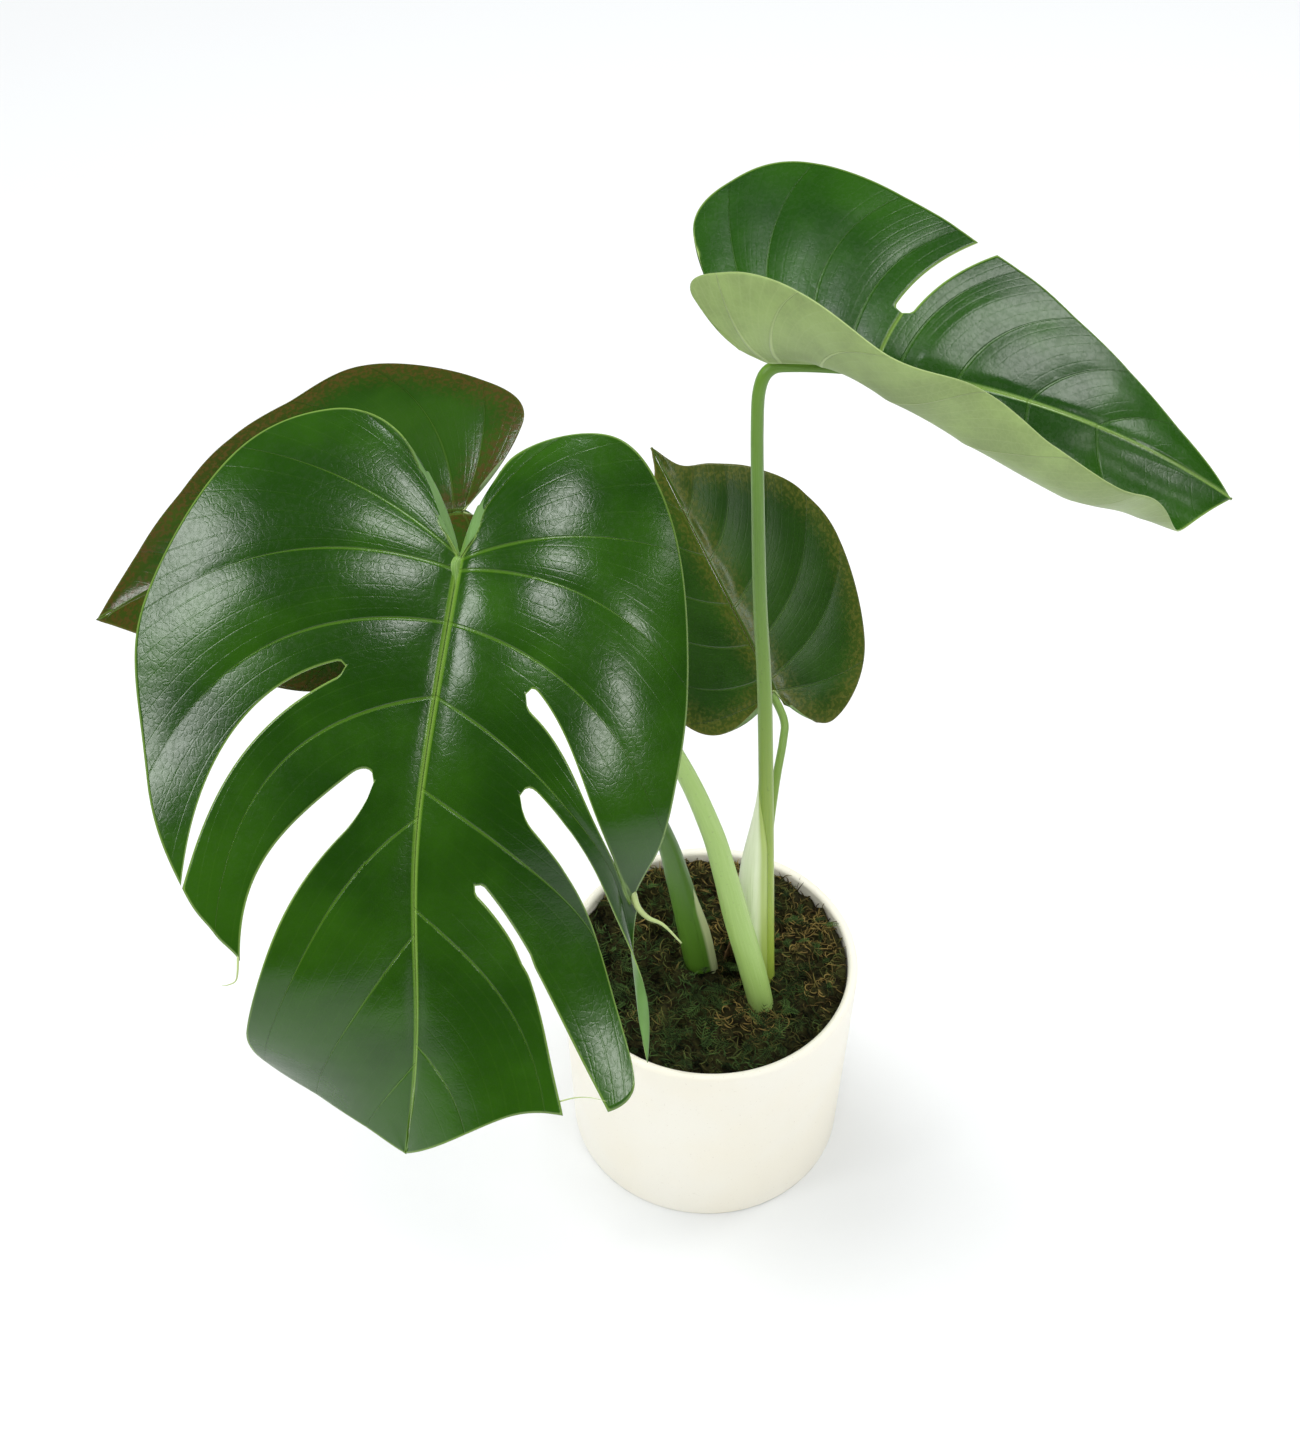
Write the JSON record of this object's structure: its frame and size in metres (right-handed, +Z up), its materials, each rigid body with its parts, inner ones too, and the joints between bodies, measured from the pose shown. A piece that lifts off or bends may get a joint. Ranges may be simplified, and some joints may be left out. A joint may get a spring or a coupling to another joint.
{
  "type": "potted monstera plant",
  "caption": "Young split-leaf houseplant with arching petioles and broad leaves, rooted in moss-topped soil in a straight plain ceramic pot.",
  "frame": {"origin": "centre of the pot's flat underside, on the surface that the pot stands on", "axes": "+Z up; the plant is seen from -Y, with the large split leaf towards -X and -Y and the newest leaf reaching towards +X"},
  "size_m": [0.4698, 0.3391, 0.5273],
  "materials": {
    "pot_ceramic": "satin",
    "soil": "matte",
    "moss": "matte",
    "stem": "matte",
    "petiole_pale": "satin",
    "petiole_light": "satin",
    "petiole_dark": "satin",
    "sheath_pale": "satin",
    "dry_bract": "matte",
    "leaf_bright": "gloss",
    "leaf_new": "satin",
    "leaf_dark": "gloss",
    "leaf_speckled": "satin"
  },
  "bodies": {
    "root": {"pot": "pot_ceramic", "potting_soil": "soil", "moss_layer": "moss", "main_stem": "stem", "side_stem": "stem", "petiole_upper": "petiole_pale", "petiole_front": "petiole_light", "petiole_back": "petiole_dark", "petiole_small": "petiole_light", "sheath_upper": "sheath_pale", "sheath_back": "sheath_pale", "dry_sheath": "dry_bract", "leaf_front": "leaf_bright", "leaf_upper": "leaf_new", "leaf_back": "leaf_dark", "leaf_small": "leaf_speckled"}
  },
  "joints": []
}
